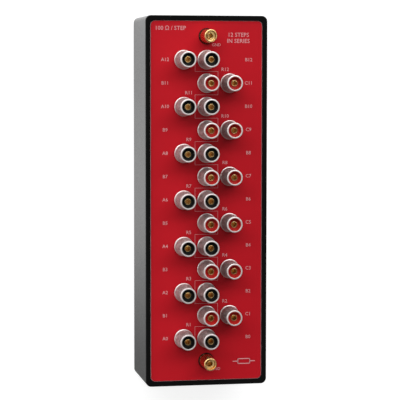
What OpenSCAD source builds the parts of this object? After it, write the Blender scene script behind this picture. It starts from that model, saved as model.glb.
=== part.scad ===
// Standard resistor for the calibration bench: twelve equal wire-wound resistors in series,
// with a pair of knurled binding posts at each of the thirteen junctions and a gilt ground
// post at each end. It lies on its back on four rubber feet with its terminals up.
// Origin: the middle of the footprint, on the plane of the feet. +Z is out of the panel and
// +Y runs along the case towards the highest step.

/* [Terminal grid] */
// Distance between neighbouring terminals, the spacing of a double plug
post_pitch = 19.05; // [18.6:0.05:22]
// From the outer terminals' axes to the long edges of the panel
side_margin = 27.4; // [24:0.1:36]
// From the ground posts' axes to the short edges of the panel, on average
end_margin = 14.5; // [12:0.1:30]
// How far the middle of the posts lies above the middle of the panel
grid_shift = 1.7; // [0:0.1:3]

/* [Case] */
// Depth of the case from its rim to its underside
case_depth = 67; // [52:0.5:90]
// Thickness of the case's walls
case_wall = 3.9; // [3:0.1:6]
// Thickness of the case's floor
case_floor = 4; // [3:0.1:7]
// Radius of the case's upright corners
case_corner_r = 4.6; // [3.5:0.1:8]
// Bevel round the rim
rim_bevel = 0.5; // [0.2:0.1:1]
// Bevel round the underside
base_bevel = 1; // [0.4:0.1:2]
// Diameter of the screw bosses inside the case
boss_d = 9; // [7.5:0.1:11]

/* [Panel] */
// Thickness of the red panel
panel_t = 1.6; // [1:0.1:3]
// How far the red panel lies below the rim
panel_recess = 1; // [0.4:0.1:2]
// Radius of the panel's corners
panel_r = 4; // [2:0.1:6]
// Bevel round the panel's front edge
panel_bevel = 0.4; // [0.2:0.05:0.7]
// Clearance round the panel in the case
panel_gap = 0.15; // [0.05:0.05:0.4]
// Thickness of the plate that carries the terminals
plate_t = 4; // [3:0.1:6]

/* [Binding posts] */
// Diameter of the studs that the knobs run on
stud_d = 5.2; // [5.2:0.1:6]
// Diameter of the plug sockets in the studs
socket_d = 4; // [3.8:0.05:4.2]
// Depth of the plug sockets
socket_depth = 17; // [12:0.5:17]
// How far the studs' ends lie below the fronts of the knobs
socket_recess = 2.6; // [1.5:0.1:3.2]
// Diameter of the clamping collars on the studs
collar_d = 14.4; // [12:0.1:15]
// Thickness of the clamping collars
collar_t = 0.8; // [0.6:0.1:1.5]
// Diameter of the insulating bushes' heads
bush_d = 15.2; // [13:0.1:16]
// Thickness of the insulating bushes' heads
bush_t = 0.7; // [0.5:0.1:1.2]
// Diameter of the insulating bushes' necks
neck_d = 9; // [8:0.1:11]
// Diameter of the studs' threaded tails
tail_d = 5; // [4:0.1:5.2]
// Width across the flats of the nuts
nut_af = 8; // [7.5:0.1:9]
// Thickness of the nuts
nut_t = 2.4; // [2:0.1:3.2]

/* [Knobs] */
// Length of the knobs
knob_l = 22; // [19:0.1:26]
// Diameter of the knobs at their feet
knob_base_d = 15.8; // [15:0.1:16.6]
// Diameter of the knobs at their fronts
knob_front_d = 13.1; // [12.6:0.1:14.5]
// Height of the plain flange at the foot of a knob
knob_flange_t = 0.8; // [0.7:0.1:2.5]
// Height of the plain ring at the front of a knob
knob_ring_t = 1.2; // [1:0.1:3]
// Diameter of the coloured inserts
insert_d = 10.6; // [9.4:0.1:10.8]
// Depth of the cup in the front of an insert
cup_depth = 3.6; // [3.4:0.1:5]
// Wall of the cup
cup_wall = 0.6; // [0.4:0.1:0.9]
// Thickness of a knob's metal foot under its insert
knob_foot_t = 2; // [1.2:0.1:4]
// Clearance of the screw thread, as a plain running fit
thread_gap = 0.05; // [0.02:0.01:0.09]

/* [Ground posts] */
// Length of the ground knobs
ground_l = 18.2; // [16:0.1:22]
// Diameter of the ground knobs at their feet
ground_base_d = 11.8; // [11.5:0.1:14]
// Diameter of the ground knobs at their fronts
ground_front_d = 10.4; // [10:0.1:11.4]
// Diameter of the mouth in the front of a ground knob
ground_mouth_d = 7.6; // [6.6:0.1:8]
// Depth of that mouth
ground_mouth_depth = 3.4; // [3.3:0.1:5]
// Depth of the plug sockets in the ground studs
ground_socket_depth = 14; // [10:0.5:14]
// Thickness of the ground studs' collars
ground_collar_t = 1.2; // [0.8:0.1:2]

/* [Inside] */
// Thickness of the insulating washers behind the plate
washer_t = 1.2; // [0.8:0.1:2]
// Thickness of the copper bars that join the two posts of a step
bar_t = 1.6; // [1:0.1:2.5]
// Width of the copper bars
bar_w = 9; // [8:0.1:10]
// Thickness of the board that the resistors hang from
board_t = 2; // [1.5:0.1:3]
// From the middle of the board to the rows of pillars that carry it
pillar_x = 27; // [24:0.1:30]
// Width across the flats of the pillars
pillar_af = 8; // [7:0.1:9]
// Diameter of the resistors' bobbins
bobbin_d = 15; // [14:0.1:17]
// Length of the bobbins
bobbin_l = 24; // [16:0.5:28]
// Thickness of the bobbins' flanges
bobbin_flange_t = 1.5; // [1:0.1:2.5]
// Diameter of the bobbins' cores
bobbin_core_d = 8; // [6:0.1:9]
// Diameter of the windings on the bobbins
winding_d = 13.4; // [12.8:0.1:13.8]
// Diameter of the resistors' bare leads
lead_d = 1; // [0.6:0.1:1.2]
// Diameter of the sleeves on the leads
sleeve_d = 1.6; // [1.4:0.1:2]
// Width of the ground straps
strap_w = 10; // [8:0.1:14]
// Thickness of the ground straps
strap_t = 0.8; // [0.5:0.1:1.2]

/* [Feet] */
// Diameter of the rubber feet where they meet the case
foot_d = 15; // [12:0.5:18]
// Diameter of the rubber feet where they meet the bench
foot_tip_d = 13; // [11:0.5:16]
// Height of the rubber feet
foot_h = 6; // [5:0.5:12]
// From the case's sides to the middle of a foot
foot_inset = 14; // [10:0.5:24]

/* [Hidden] */
$fn = 64;
steps = 12;
fit = 0.1;             // clearance of a bolt, bush or tail in its hole, on the radius
slip = 0.02;           // glue line between a pressed piece and its seat
sleeve_gap = 0.5;      // room over and under the sleeved leads
small_bevel = 0.3;
lip_bevel = 0.2;       // at both edges of a stud's end
m4 = 3.9;              // plain shank that stands for each thread
m3 = 2.9;

// Plan of the panel, the case and the terminals
grid_half_w = post_pitch;
grid_half_l = (steps / 2 + 1) * post_pitch;
panel_w = 2 * (grid_half_w + side_margin);
panel_l = 2 * (grid_half_l + end_margin);
pocket_w = panel_w + 2 * panel_gap;
pocket_l = panel_l + 2 * panel_gap;
pocket_r = panel_r + panel_gap;
case_w = pocket_w + 2 * case_wall;
case_l = pocket_l + 2 * case_wall;

// Levels, from the bench up
tail_end = 1;          // thread that shows past the last nut
rim_z = foot_h + case_depth;
panel_z = rim_z - panel_recess;
plate_z = panel_z - panel_t;
under_z = plate_z - plate_t;
nut_z = under_z - washer_t - nut_t;
bar_z = nut_z - bar_t;
lock_z = bar_z - nut_t;
tail_z = lock_z - tail_end;
sleeve_z = tail_z - sleeve_gap - sleeve_d / 2;
board_z = sleeve_z - sleeve_d / 2 - sleeve_gap - board_t;

// A post, measured up from the underside of its collar
collar_z = panel_z + bush_t;
knob_z = collar_z + collar_t;
stud_top = collar_t + knob_l - socket_recess;
knob_bore_r = stud_d / 2 + thread_gap;
foot_bore_r = stud_d / 2 + 0.3;
ground_z = panel_z + ground_collar_t;
ground_top = ground_collar_t + ground_l - socket_recess;

// Screws
boss_inset = boss_d / 2 - 0.5;
boss_x = pocket_w / 2 - boss_inset;
boss_y = pocket_l / 2 - boss_inset;
pillar_y = 5.5 * post_pitch;     // between two rows, clear of the washers
pillar_mid_y = 1.5 * post_pitch;
sunk_head_d = 7.6;
sunk_head_t = 2.1;
sunk_edge = 0.25;
sunk_depth = 6;        // thread below the plate
pan_head_d = 7;
pan_head_t = 2.2;
board_bolt_l = 3.6;    // thread above the board
small_head_d = 5.4;
small_head_t = 1.8;
bobbin_bolt_l = bobbin_l / 2;
bolt_room = 1;         // past the end of a bolt in a blind hole
head_room = 0.7;       // round a screw's head in a foot
washer_rim = 2;        // round a bush's neck
lead_reach = (bobbin_core_d + winding_d) / 4;
strap_y = pocket_l / 2;
strap_drop = 16;
strap_bolt_up = 5;     // from the strap's lower end to its screw
strap_bolt_z = under_z - nut_t - strap_drop + strap_bolt_up;
strap_tap_l = 0.7 * case_wall;
strap_bolt_l = 0.6 * case_wall;
foot_x = case_w / 2 - foot_inset;
foot_y = case_l / 2 - foot_inset;
foot_web = foot_h / 2;
foot_band = 1;         // straight part under the case
board_r = 3;

POSTS = [
    for (row = [0 : steps])
        for (column = row % 2 == 0 ? [-1, 0] : [0, 1])
            [column, row]
];
PILLARS = [
    for (x = [-pillar_x, pillar_x])
        for (k = [-pillar_y, -pillar_mid_y, pillar_mid_y, pillar_y])
            [x, grid_shift + k]
];
BOSSES = [for (x = [-boss_x, boss_x]) for (k = [-1, -1 / 3, 1 / 3, 1]) [x, k * boss_y]];
FEET = [for (x = [-foot_x, foot_x]) for (y = [-foot_y, foot_y]) [x, y]];

function post_x(post) = post[0] * post_pitch;
function row_y(row) = grid_shift + (row - steps / 2) * post_pitch;
function ground_y(side) = grid_shift + side * grid_half_l;
function wall_y(side) = side * strap_y;
function bar_x(row) = (row % 2 == 0 ? -1 : 1) * post_pitch / 2;
function step_y(n) = row_y(n) - post_pitch / 2;
function knob_name(post) = str("knob_", ["a", "b", "c"][post[0] + 1], post[1]);
function arc(r, z, radius, from, to, n) =
    [for (k = [0 : n]) [r, z] + radius * [cos(from + (to - from) * k / n), sin(from + (to - from) * k / n)]];

// Shapes that several pieces share

// Side view of a block with its edges bevelled at the top and the bottom
module bevelled_profile(half, height, top, bottom) {
    polygon(concat(
        bottom > 0 ? [[-half, bottom], [bottom - half, 0], [half - bottom, 0], [half, bottom]]
                   : [[-half, 0], [half, 0]],
        top > 0 ? [[half, height - top], [half - top, height], [top - half, height], [-half, height - top]]
                : [[half, height], [-half, height]]
    ));
}

// Round-cornered block standing on z = 0, with bevelled edges
module block(width, length, height, radius, top = 0, bottom = 0) {
    rotate([90, 0, 0])
        linear_extrude(length - 2 * radius, center = true)
            bevelled_profile(width / 2, height, top, bottom);
    rotate([90, 0, 90])
        linear_extrude(width - 2 * radius, center = true)
            bevelled_profile(length / 2, height, top, bottom);
    for (x = [-1, 1], y = [-1, 1])
        translate([x * (width / 2 - radius), y * (length / 2 - radius), 0])
            rotate_extrude()
                intersection() {
                    bevelled_profile(radius, height, top, bottom);
                    square([radius, height]);
                }
}

// Hexagon nut with a plain hole for a tail
module nut(across, thickness, hole_d) {
    difference() {
        cylinder(h = thickness, d = across / cos(30), $fn = 6);
        translate([0, 0, -1])
            cylinder(h = thickness + 2, d = hole_d);
    }
}

// Countersunk screw, its head's top at z = 0 and its thread downwards
module sunk_screw(length) {
    rotate_extrude()
        polygon([
            [0, -length], [m4 / 2 - small_bevel, -length], [m4 / 2, small_bevel - length],
            [m4 / 2, -sunk_head_t], [sunk_head_d / 2, -sunk_edge], [sunk_head_d / 2, 0], [0, 0]
        ]);
}

// Round-headed screw, the underside of its head at z = 0 and its thread upwards
module pan_screw(shank_d, length, head_d, head_t) {
    rotate_extrude()
        polygon([
            [0, -head_t], [head_d / 2 - head_t / 2, -head_t], [head_d / 2 - head_t / 5, -head_t * 0.7],
            [head_d / 2, 0], [shank_d / 2, 0], [shank_d / 2, length - small_bevel],
            [shank_d / 2 - small_bevel, length], [0, length]
        ]);
}

// Round rod from one point to another
module rod(from, to, d) {
    run = to - from;
    translate(from)
        rotate([0, acos(run[2] / norm(run)), atan2(run[1], run[0])])
            cylinder(h = norm(run), d = d);
}

module at_posts() {
    for (post = POSTS)
        translate([post_x(post), row_y(post[1]), 0])
            children();
}

module at_grounds() {
    for (side = [-1, 1])
        translate([0, ground_y(side), 0])
            children();
}

// Case

module case() {
    color([0.03, 0.03, 0.03])
        difference() {
            union() {
                difference() {
                    translate([0, 0, foot_h])
                        block(case_w, case_l, case_depth, case_corner_r, rim_bevel, base_bevel);
                    translate([0, 0, foot_h + case_floor])
                        block(pocket_w, pocket_l, case_depth, pocket_r, 0, base_bevel);
                }
                for (p = BOSSES)
                    translate([p[0], p[1], foot_h + case_floor / 2])
                        cylinder(h = under_z - foot_h - case_floor / 2, d = boss_d);
            }
            for (p = BOSSES)
                translate([p[0], p[1], under_z - sunk_depth - 2])
                    cylinder(h = sunk_depth + 3, d = m4 + 2 * fit);
            for (p = FEET)
                translate([p[0], p[1], foot_h - 1])
                    cylinder(h = case_floor + 2, d = m4 + 2 * fit);
            for (side = [-1, 1])
                translate([0, wall_y(side) - side, strap_bolt_z])
                    rotate([-side * 90, 0, 0])
                        cylinder(h = strap_tap_l + 1, d = m3 + 2 * fit);
        }
}

// Panel and the plate behind it

module front_panel() {
    color([0.74, 0.10, 0.14])
        difference() {
            translate([0, 0, plate_z])
                block(panel_w, panel_l, panel_t, panel_r, panel_bevel);
            at_posts()
                translate([0, 0, plate_z - 1])
                    cylinder(h = panel_t + 2, d = neck_d + 2 * fit);
            at_grounds()
                translate([0, 0, plate_z - 1])
                    cylinder(h = panel_t + 2, d = tail_d + 2 * fit);
        }
}

module terminal_plate() {
    color([0.10, 0.09, 0.08])
        difference() {
            translate([0, 0, under_z])
                block(panel_w, panel_l, plate_t, panel_r);
            at_posts()
                translate([0, 0, under_z - 1])
                    cylinder(h = plate_t + 2, d = neck_d + 2 * fit);
            at_grounds()
                translate([0, 0, under_z - 1])
                    cylinder(h = plate_t + 2, d = tail_d + 2 * fit);
            for (p = concat(BOSSES, PILLARS))
                translate([p[0], p[1], plate_z]) {
                    translate([0, 0, -plate_t - 1])
                        cylinder(h = plate_t + 2, d = m4 + 2 * fit);
                    translate([0, 0, -sunk_head_t - fit])
                        cylinder(h = sunk_head_t - sunk_edge, d1 = m4 + 2 * fit, d2 = sunk_head_d + 2 * fit);
                    translate([0, 0, -sunk_edge - fit])
                        cylinder(h = 1, d = sunk_head_d + 2 * fit);
                }
        }
}

module plate_screws() {
    color([0.62, 0.62, 0.60])
        for (p = concat(BOSSES, PILLARS))
            translate([p[0], p[1], plate_z - fit])
                sunk_screw(plate_t + sunk_depth - fit);
}

// Binding posts

// Turned stud with its collar's underside at z = 0, its tail downwards and its socket on top
module socketed_stud(collar_radius, collar_height, top, tail, depth) {
    bevel = small_bevel;
    rotate_extrude()
        polygon([
            [0, -tail], [tail_d / 2 - bevel, -tail], [tail_d / 2, bevel - tail], [tail_d / 2, 0],
            [collar_radius, 0], [collar_radius, collar_height], [stud_d / 2, collar_height],
            [stud_d / 2, top - lip_bevel], [stud_d / 2 - lip_bevel, top],
            [socket_d / 2 + lip_bevel, top], [socket_d / 2, top - lip_bevel],
            [socket_d / 2, top - depth], [0, top - depth]
        ]);
}

module post_studs() {
    color([0.85, 0.65, 0.28])
        at_posts()
            translate([0, 0, collar_z])
                socketed_stud(collar_d / 2, collar_t, stud_top, collar_z - tail_z, socket_depth);
}

module post_bushes() {
    color([0.06, 0.06, 0.06])
        at_posts()
            translate([0, 0, panel_z])
                difference() {
                    union() {
                        cylinder(h = bush_t, d = bush_d);
                        translate([0, 0, fit - panel_t - plate_t])
                            cylinder(h = panel_t + plate_t, d = neck_d);
                    }
                    translate([0, 0, -panel_t - plate_t - 1])
                        cylinder(h = panel_t + plate_t + bush_t + 2, d = tail_d + 2 * fit);
                }
}

module post_washers() {
    color([0.06, 0.06, 0.06])
        at_posts()
            translate([0, 0, under_z - washer_t])
                difference() {
                    cylinder(h = washer_t, d = neck_d + 2 * washer_rim);
                    translate([0, 0, -1])
                        cylinder(h = washer_t + 2, d = tail_d + 2 * fit);
                }
}

module stud_nuts() {
    color([0.85, 0.65, 0.28]) {
        at_posts()
            for (z = [nut_z, lock_z])
                translate([0, 0, z])
                    nut(nut_af, nut_t, tail_d + 2 * fit);
        at_grounds()
            for (z = [under_z - nut_t, under_z - 2 * nut_t - strap_t])
                translate([0, 0, z])
                    nut(nut_af, nut_t, tail_d + 2 * fit);
    }
}

module knob_shell() {
    base_r = knob_base_d / 2;
    front_r = knob_front_d / 2;
    bevel = small_bevel;
    round_r = 0.5;
    top = knob_l;
    rotate_extrude()
        polygon(concat(
            [
                [foot_bore_r, 0], [base_r - bevel, 0], [base_r, bevel],
                [base_r, knob_flange_t - bevel], [base_r - bevel, knob_flange_t],
                [front_r - bevel / 2, top - knob_ring_t - bevel], [front_r, top - knob_ring_t]
            ],
            arc(front_r - round_r, top - round_r, round_r, 0, 90, 4),
            [
                [insert_d / 2 + bevel / 2, top], [insert_d / 2, top - bevel / 2],
                [insert_d / 2, knob_foot_t], [foot_bore_r, knob_foot_t]
            ]
        ));
}

module knob_insert() {
    outer_r = insert_d / 2 - slip;
    cup_r = outer_r - cup_wall;
    floor_r = 1;
    rotate_extrude()
        polygon(concat(
            [
                [knob_bore_r, knob_foot_t + slip], [outer_r, knob_foot_t + slip],
                [outer_r, knob_l - small_bevel], [cup_r, knob_l - small_bevel]
            ],
            arc(cup_r - floor_r, knob_l - cup_depth + floor_r, floor_r, 0, -90, 4),
            [[knob_bore_r, knob_l - cup_depth]]
        ));
}

module knob(post) {
    translate([post_x(post), row_y(post[1]), knob_z]) {
        color([0.78, 0.77, 0.75])
            knob_shell();
        color(post[1] % 2 == 0 ? [0.02, 0.02, 0.02] : [0.65, 0.08, 0.10])
            knob_insert();
    }
}

// Ground posts

module ground_studs() {
    color([0.85, 0.65, 0.28])
        at_grounds()
            translate([0, 0, panel_z])
                socketed_stud(ground_base_d / 2, ground_collar_t, ground_top,
                              panel_z - under_z + 2 * nut_t + strap_t + tail_end, ground_socket_depth);
}

module ground_knob(side) {
    base_r = ground_base_d / 2;
    front_r = ground_front_d / 2;
    mouth_r = ground_mouth_d / 2;
    bevel = small_bevel;
    round_r = 0.9;
    neck_z = 3;
    color([0.85, 0.65, 0.28])
        translate([0, ground_y(side), ground_z])
            rotate_extrude()
                polygon(concat(
                    [
                        [knob_bore_r, 0], [base_r - bevel, 0], [base_r, bevel],
                        [base_r, knob_flange_t - bevel], [base_r - bevel, knob_flange_t],
                        [front_r + bevel, neck_z]
                    ],
                    arc(front_r - round_r, ground_l - round_r, round_r, 0, 90, 6),
                    arc(mouth_r + bevel, ground_l - bevel, bevel, 90, 180, 3),
                    [[mouth_r, ground_l - ground_mouth_depth], [knob_bore_r, ground_l - ground_mouth_depth]]
                ));
}

// Strap that bonds a ground post to the end wall of the case
module ground_straps() {
    color([0.72, 0.45, 0.28])
        for (side = [-1, 1])
            difference() {
                union() {
                    translate([-strap_w / 2, wall_y(side) - (side + 1) / 2 * strap_t, under_z - nut_t - strap_drop])
                        cube([strap_w, strap_t, strap_drop]);
                    translate([-strap_w / 2, min(ground_y(side), wall_y(side)), under_z - nut_t - strap_t])
                        cube([strap_w, abs(wall_y(side) - ground_y(side)), strap_t]);
                    translate([0, ground_y(side), under_z - nut_t - strap_t])
                        cylinder(h = strap_t, d = strap_w);
                }
                translate([0, ground_y(side), under_z - nut_t - strap_t - 1])
                    cylinder(h = strap_t + 2, d = tail_d + 2 * fit);
                translate([0, wall_y(side) - side * (strap_t + 1), strap_bolt_z])
                    rotate([-side * 90, 0, 0])
                        cylinder(h = strap_t + 2, d = m3 + 2 * fit);
            }
}

module strap_screws() {
    color([0.62, 0.62, 0.60])
        for (side = [-1, 1])
            translate([0, wall_y(side) - side * strap_t, strap_bolt_z])
                rotate([-side * 90, 0, 0])
                    pan_screw(m3, strap_t + strap_bolt_l, small_head_d, small_head_t);
}

// Resistors and what carries them

module junction_bars() {
    color([0.72, 0.45, 0.28])
        for (row = [0 : steps])
            translate([bar_x(row), row_y(row), bar_z])
                difference() {
                    union() {
                        translate([-post_pitch / 2, -bar_w / 2, 0])
                            cube([post_pitch, bar_w, bar_t]);
                        for (x = [-1, 1])
                            translate([x * post_pitch / 2, 0, 0])
                                cylinder(h = bar_t, d = bar_w);
                    }
                    for (x = [-1, 1])
                        translate([x * post_pitch / 2, 0, -1])
                            cylinder(h = bar_t + 2, d = tail_d + 2 * fit);
                }
}

module resistor_board() {
    color([0.45, 0.30, 0.16])
        difference() {
            translate([0, grid_shift, board_z])
                block(2 * (pillar_x + pillar_af), 2 * pillar_y + 3 * pillar_af, board_t, board_r);
            for (n = [1 : steps])
                translate([0, step_y(n), board_z - 1]) {
                    cylinder(h = board_t + 2, d = m3 + 2 * fit);
                    for (side = [-1, 1])
                        translate([0, side * lead_reach, 0])
                            cylinder(h = board_t + 2, d = lead_d + 4 * fit);
                }
            for (p = PILLARS)
                translate([p[0], p[1], board_z - 1])
                    cylinder(h = board_t + 2, d = m4 + 2 * fit);
        }
}

module board_pillars() {
    color([0.80, 0.66, 0.32])
        for (p = PILLARS)
            translate([p[0], p[1], board_z + board_t])
                nut(pillar_af, under_z - board_z - board_t, m4 + 2 * fit);
}

module board_screws() {
    color([0.62, 0.62, 0.60])
        for (p = PILLARS)
            translate([p[0], p[1], board_z])
                pan_screw(m4, board_t + board_bolt_l, pan_head_d, pan_head_t);
}

module bobbin_screws() {
    color([0.62, 0.62, 0.60])
        for (n = [1 : steps])
            translate([0, step_y(n), board_z + board_t])
                mirror([0, 0, 1])
                    pan_screw(m3, board_t + bobbin_bolt_l, small_head_d, small_head_t);
}

// Sleeved wires from each winding, up through the board, to the bars of its two steps
module resistor_leads() {
    solder_y = bar_w / 4;
    color([0.78, 0.50, 0.30])
        for (n = [1 : steps], side = [-1, 1]) {
            row = side > 0 ? n : n - 1;
            start = [0, step_y(n) + side * lead_reach, sleeve_z];
            end = [bar_x(row), row_y(row) - side * solder_y, sleeve_z];
            lap = (end - start) / norm(end - start) * sleeve_d / 2;
            rod([start[0], start[1], board_z - bobbin_flange_t], start, lead_d);
            rod(start - lap, end + lap, sleeve_d);
            rod(end, [end[0], end[1], bar_z], lead_d);
        }
}

module resistor(n) {
    translate([0, step_y(n), board_z - bobbin_l]) {
        color([0.88, 0.85, 0.76])
            difference() {
                rotate_extrude()
                    polygon([
                        [0, 0], [bobbin_d / 2, 0], [bobbin_d / 2, bobbin_flange_t],
                        [bobbin_core_d / 2, bobbin_flange_t],
                        [bobbin_core_d / 2, bobbin_l - bobbin_flange_t],
                        [bobbin_d / 2, bobbin_l - bobbin_flange_t], [bobbin_d / 2, bobbin_l], [0, bobbin_l]
                    ]);
                translate([0, 0, bobbin_l - bobbin_bolt_l - bolt_room])
                    cylinder(h = bobbin_bolt_l + 2 * bolt_room, d = m3 + 2 * fit);
                for (side = [-1, 1])
                    translate([0, side * lead_reach, bobbin_l - bobbin_flange_t - 0.5])
                        cylinder(h = bobbin_flange_t + 1, d = lead_d + 2 * fit);
            }
        color([0.30, 0.42, 0.22])
            translate([0, 0, bobbin_flange_t + slip])
                difference() {
                    cylinder(h = bobbin_l - 2 * (bobbin_flange_t + slip), d = winding_d);
                    translate([0, 0, -1])
                        cylinder(h = bobbin_l, d = bobbin_core_d + 2 * slip);
                }
    }
}

// Feet

module feet() {
    color([0.05, 0.05, 0.05])
        for (p = FEET)
            translate([p[0], p[1], 0])
                difference() {
                    rotate_extrude()
                        polygon([
                            [0, 0], [foot_tip_d / 2 - small_bevel, 0], [foot_tip_d / 2, small_bevel],
                            [foot_d / 2, foot_h - foot_band], [foot_d / 2, foot_h], [0, foot_h]
                        ]);
                    translate([0, 0, -1])
                        cylinder(h = foot_h + 2, d = m4 + 2 * fit);
                    translate([0, 0, -1])
                        cylinder(h = foot_web + 1, d = pan_head_d + 2 * head_room);
                }
}

module foot_screws() {
    color([0.62, 0.62, 0.60])
        for (p = FEET)
            translate([p[0], p[1], foot_web])
                pan_screw(m4, foot_h - foot_web + case_floor, pan_head_d, pan_head_t);
}

case();
front_panel();
terminal_plate();
plate_screws();
post_studs();
post_bushes();
post_washers();
stud_nuts();
junction_bars();
ground_studs();
ground_straps();
strap_screws();
resistor_board();
board_pillars();
board_screws();
bobbin_screws();
resistor_leads();
for (n = [1 : steps])
    resistor(n);
feet();
foot_screws();
for (post = POSTS)
    knob(post);
ground_knob(-1);  // ground_knob_low
ground_knob(1);  // ground_knob_high
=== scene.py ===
# %% [markdown]
# # Dressing a standard resistor
#
# The CAD model already fixes where everything is: a deep black case on rubber feet, a red
# panel, 26 binding posts in pairs and a gilt ground post at each end. Here Blender adds what
# a photograph shows on top of that: the knurling of the knobs, the threads, the engraved
# marks, the finishes and the light. The frame is loaded first, so that every later size can
# be read from it.

# %% Load the frame
import math

import bmesh
import bpy
from mathutils import Matrix, Vector


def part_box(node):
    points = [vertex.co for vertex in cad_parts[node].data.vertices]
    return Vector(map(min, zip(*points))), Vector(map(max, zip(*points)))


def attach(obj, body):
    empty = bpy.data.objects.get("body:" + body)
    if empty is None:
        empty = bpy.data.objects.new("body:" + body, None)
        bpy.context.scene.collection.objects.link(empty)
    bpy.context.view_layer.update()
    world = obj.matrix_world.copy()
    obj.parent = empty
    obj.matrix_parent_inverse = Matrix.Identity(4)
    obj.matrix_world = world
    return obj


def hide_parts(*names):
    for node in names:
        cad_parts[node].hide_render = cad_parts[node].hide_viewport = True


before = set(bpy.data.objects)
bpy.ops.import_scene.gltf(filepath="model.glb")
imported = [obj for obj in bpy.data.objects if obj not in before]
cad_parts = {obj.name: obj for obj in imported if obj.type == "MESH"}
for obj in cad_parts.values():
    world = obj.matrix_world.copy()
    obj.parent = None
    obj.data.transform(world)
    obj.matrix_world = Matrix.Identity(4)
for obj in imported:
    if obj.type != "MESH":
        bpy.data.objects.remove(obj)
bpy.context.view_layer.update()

# %% [markdown]
# ## Sizes
#
# Blender works in metres, and the maker's drawing is in millimetres, so one factor turns one
# into the other. The levels come from the boxes of the CAD nodes: the panel's front face, the
# case's rim and the pitch between two neighbouring posts.

# %% Read the main levels
MM = 0.001

panel_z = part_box("front_panel")[1].z
rim_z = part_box("case")[1].z
knob_nodes = sorted(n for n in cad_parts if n.startswith("knob_"))


def foot_of(node):
    """The middle of the lower end of a CAD node's box."""
    low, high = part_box(node)
    return Vector(((low.x + high.x) / 2, (low.y + high.y) / 2, low.z))


pitch = foot_of("knob_b12").x - foot_of("knob_a12").x
print(f"panel face at {panel_z:.4f} m, rim at {rim_z:.4f} m, pitch {pitch:.5f} m")

# %% [markdown]
# ## Camera
#
# The photograph looks down on the panel from a little to the left, through a long lens. Its
# place and turn were fitted to the rims of the knobs, the circuit's line and the case's edges.
# They are kept as one point and one turning vector: its direction is the axis and its length
# the angle.

# %% Camera
CAMERA_AT = Vector((-0.2611, 0.1041, 1.4523))
CAMERA_TURN = Vector((-0.0729, -0.1831, -0.0057))
FOCAL_LENGTH = 154.6
SENSOR_WIDTH = 36
SIGHT_END = 50

lens = bpy.data.cameras.new("camera")
lens.lens = FOCAL_LENGTH
lens.sensor_width = SENSOR_WIDTH
lens.clip_end = SIGHT_END
camera = bpy.data.objects.new("camera", lens)
bpy.context.scene.collection.objects.link(camera)
camera_turn = Matrix.Rotation(CAMERA_TURN.length, 4, CAMERA_TURN)
camera.matrix_world = Matrix.Translation(CAMERA_AT) @ camera_turn
bpy.context.scene.camera = camera
bpy.context.scene.view_settings.view_transform = "Standard"
print("camera at", tuple(round(v, 3) for v in camera.location))

# %% [markdown]
# ## Light
#
# The knobs in the photograph are bright on their upper sides and dark below, and their shadows
# are deep at the foot and soon fade. Light that comes from one side, but from a wide arc of
# it, does that. So the lamp is a long soft box beyond the top end of the panel, and it faces
# the panel's middle. An area lamp is used because its size sets how soft a shadow is.

# %% Lamp
LAMP_AT = Vector((0.0, 3.2, 5.2))
LAMP_SIZE = (10.0, 2.4)
LAMP_POWER = 370

lamp = bpy.data.lights.new("key_lamp", "AREA")
lamp.shape = "RECTANGLE"
lamp.size, lamp.size_y = LAMP_SIZE
lamp.energy = LAMP_POWER
soft_box = bpy.data.objects.new("key_lamp", lamp)
bpy.context.scene.collection.objects.link(soft_box)
soft_box.location = LAMP_AT
to_panel = Vector((0, 0, panel_z)) - LAMP_AT
soft_box.rotation_euler = to_panel.to_track_quat("-Z", "Y").to_euler()
print("one soft box of", LAMP_SIZE, "m")

# %% [markdown]
# The world is the room round the bench, and polished metal shows it. A knob's flat ring
# mirrors the ceiling straight above, and its steep sides mirror the walls, which are bright at
# the far left and dark at the near end. Between the two the room is dim, so that the shadows
# stay deep. A picture of a room could stand here, but three Map Range nodes over the direction
# that a ray takes are enough and need no file.

# %% Helpers for chains of nodes
def feed(tree, socket, value):
    """Link a socket to another one, or set it to a number or a colour."""
    if isinstance(value, bpy.types.NodeSocket):
        tree.links.new(value, socket)
    else:
        socket.default_value = value


def maths(tree, operation, first, second):
    """A Math node fed by two sockets or numbers."""
    node = tree.nodes.new("ShaderNodeMath")
    node.operation = operation
    feed(tree, node.inputs[0], first)
    feed(tree, node.inputs[1], second)
    return node.outputs[0]


def ramp(tree, value, ends, levels, kind="SMOOTHSTEP"):
    """A change between two levels while a value goes from one end to the other."""
    node = tree.nodes.new("ShaderNodeMapRange")
    node.interpolation_type = kind
    tree.links.new(value, node.inputs[0])
    for socket, given in zip(node.inputs[1:5], (*ends, *levels)):
        feed(tree, socket, given)
    return node.outputs[0]


# %% World
BRIGHT_END = Vector((-0.5, 0.86, 0.0))
CEILING_ENDS, CEILING_LIGHT = (0.86, 0.97), (0.05, 0.60)
WALL_ENDS, WALL_LIGHT = (-0.30, 1.00), (0.02, 5.20)
WALL_TOP = (0.62, 0.10)

world = bpy.data.worlds.new("studio")
bpy.context.scene.world = world
world.use_nodes = True
room = world.node_tree
room.nodes.clear()

place = room.nodes.new("ShaderNodeTexCoord")
way = room.nodes.new("ShaderNodeSeparateXYZ")
lean = room.nodes.new("ShaderNodeVectorMath")
lean.operation = "DOT_PRODUCT"
lean.inputs[1].default_value = BRIGHT_END
sky = room.nodes.new("ShaderNodeBackground")
out = room.nodes.new("ShaderNodeOutputWorld")
room.links.new(place.outputs["Generated"], way.inputs[0])
room.links.new(place.outputs["Generated"], lean.inputs[0])

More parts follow.
